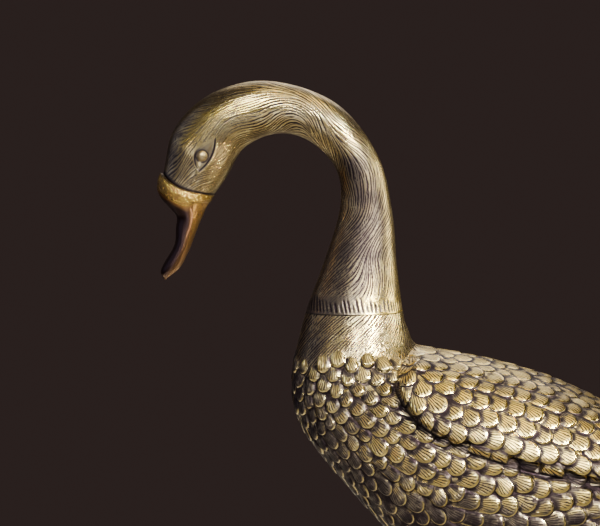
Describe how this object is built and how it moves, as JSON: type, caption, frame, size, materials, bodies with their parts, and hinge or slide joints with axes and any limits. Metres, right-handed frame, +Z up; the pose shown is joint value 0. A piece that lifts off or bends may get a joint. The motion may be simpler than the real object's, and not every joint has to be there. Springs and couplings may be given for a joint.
{
  "type": "goose figurine",
  "caption": "Cast brass goose standing on webbed feet, with an arched neck, lowered bill and engraved scale-like feathers; a free-standing ornament.",
  "frame": {"origin": "middle of the base of the bounding box, on the floor under the soles", "axes": "+X towards the tail, +Y towards the goose's right side, +Z up; the bill points to -X"},
  "size_m": [0.3618, 0.1116, 0.3127],
  "materials": {
    "brass_body": "engraved cast brass with dark brown patina in the recesses",
    "brass_bill": "smooth amber-toned brass, worn bright on the root",
    "brass_eye": "polished bead",
    "brass_plain": "plain drawn brass, hidden inside",
    "steel": "plain steel hardware, hidden inside"
  },
  "bodies": {
    "root": {"body_left_half": "brass_body", "body_right_half": "brass_body", "neck_left_half": "brass_body", "neck_right_half": "brass_body", "wing_left": "brass_body", "wing_right": "brass_body", "tail_fan": "brass_body", "leg_left": "brass_body", "leg_right": "brass_body", "upper_bill": "brass_bill", "lower_bill": "brass_bill", "eye_left": "brass_eye", "eye_right": "brass_eye", "neck_sleeve": "brass_plain", "wing_rivet_left_front": "brass_plain", "wing_rivet_left_rear": "brass_plain", "wing_rivet_right_front": "brass_plain", "wing_rivet_right_rear": "brass_plain", "leg_stud_left": "steel", "leg_washer_left": "steel", "leg_nut_left": "steel", "leg_stud_right": "steel", "leg_washer_right": "steel", "leg_nut_right": "steel"}
  },
  "joints": []
}
